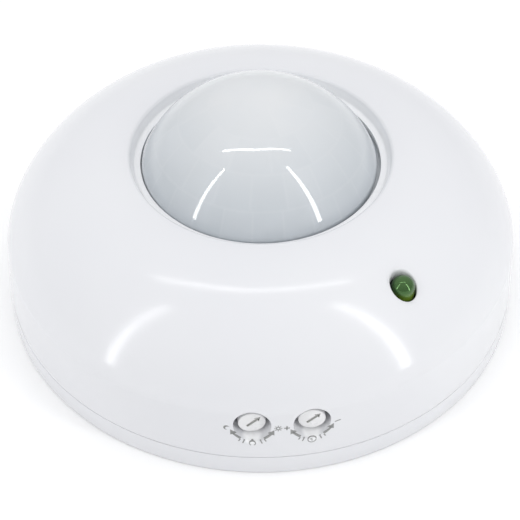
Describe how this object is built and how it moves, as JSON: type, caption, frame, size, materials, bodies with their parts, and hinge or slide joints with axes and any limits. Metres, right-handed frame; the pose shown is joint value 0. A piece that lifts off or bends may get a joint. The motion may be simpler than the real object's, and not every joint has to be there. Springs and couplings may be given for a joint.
{
  "type": "ceiling motion sensor",
  "caption": "Round ceiling motion sensor: low drum base, twist-off domed cover, milky lens dome in a stepped recess, green indicator and adjusting knobs in the side.",
  "frame": {"origin": "centre of the base's flat back, which lies on the ceiling", "axes": "+Z out of the back through the lens, away from the ceiling; -Y towards the two adjusting knobs; +X towards the indicator's side"},
  "size_m": [0.115, 0.115, 0.0527],
  "materials": {
    "casing_white": "glossy injection-moulded",
    "inner_white": "plain moulded",
    "lens_milky": "milky translucent, smooth outside and grooved inside",
    "knob_white": "satin",
    "led_green": "clear green epoxy",
    "board_green": "glass-fibre board with solder mask",
    "can_steel": "plated can",
    "screw_zinc": "zinc plated",
    "clamp_brass": "plain",
    "filter_dark": "polished infrared window",
    "moulded_black": "moulded",
    "relay_blue": "moulded",
    "film_yellow": "moulded box",
    "sleeve_black": "shrink sleeve",
    "varistor_blue": "dipped epoxy",
    "resistor_tan": "painted",
    "cell_amber": "glazed ceramic",
    "terminal_white": "moulded"
  },
  "bodies": {
    "base": {"base_plate": "casing_white"},
    "head": {"front_cover": "casing_white", "rear_cover": "inner_white", "fresnel_lens": "lens_milky", "lens_retainer": "inner_white", "main_board": "board_green", "detector_holder": "inner_white", "pyroelectric_detector": "can_steel", "detector_window": "filter_dark", "light_cell": "cell_amber", "indicator_led": "led_green", "led_spacer": "inner_white", "relay": "relay_blue", "dropper_capacitor": "film_yellow", "smoothing_capacitor": "sleeve_black", "timing_capacitor": "sleeve_black", "surge_varistor": "varistor_blue", "fusible_resistor": "resistor_tan", "timer_chip": "moulded_black", "voltage_regulator": "moulded_black", "relay_transistor": "moulded_black", "terminal_block": "terminal_white", "lux_trimmer": "moulded_black", "time_trimmer": "moulded_black", "lens_screw_1": "screw_zinc", "case_screw_1": "screw_zinc", "terminal_screw_1": "screw_zinc", "terminal_clamp_1": "clamp_brass", "lens_screw_2": "screw_zinc", "case_screw_2": "screw_zinc", "terminal_screw_2": "screw_zinc", "terminal_clamp_2": "clamp_brass", "lens_screw_3": "screw_zinc", "case_screw_3": "screw_zinc", "terminal_screw_3": "screw_zinc", "terminal_clamp_3": "clamp_brass", "rectifier_diode_1": "moulded_black", "rectifier_diode_2": "moulded_black", "rectifier_diode_3": "moulded_black", "rectifier_diode_4": "moulded_black"},
    "lux_knob": {"lux_knob": "knob_white"},
    "time_knob": {"time_knob": "knob_white"}
  },
  "joints": [
    {"name": "head_twist", "type": "hinge", "parent": "base", "child": "head", "pos_m": [0, 0, 0.0052], "axis": [0, 0, 1], "range_deg": [0, 14]},
    {"name": "lux_turn", "type": "hinge", "parent": "head", "child": "lux_knob", "pos_m": [-0.00605, -0.05555, 0.0146], "axis": [0, 1, 0], "range_deg": [0, 260]},
    {"name": "time_turn", "type": "hinge", "parent": "head", "child": "time_knob", "pos_m": [0.00605, -0.05555, 0.0146], "axis": [0, 1, 0], "range_deg": [0, 260]}
  ]
}
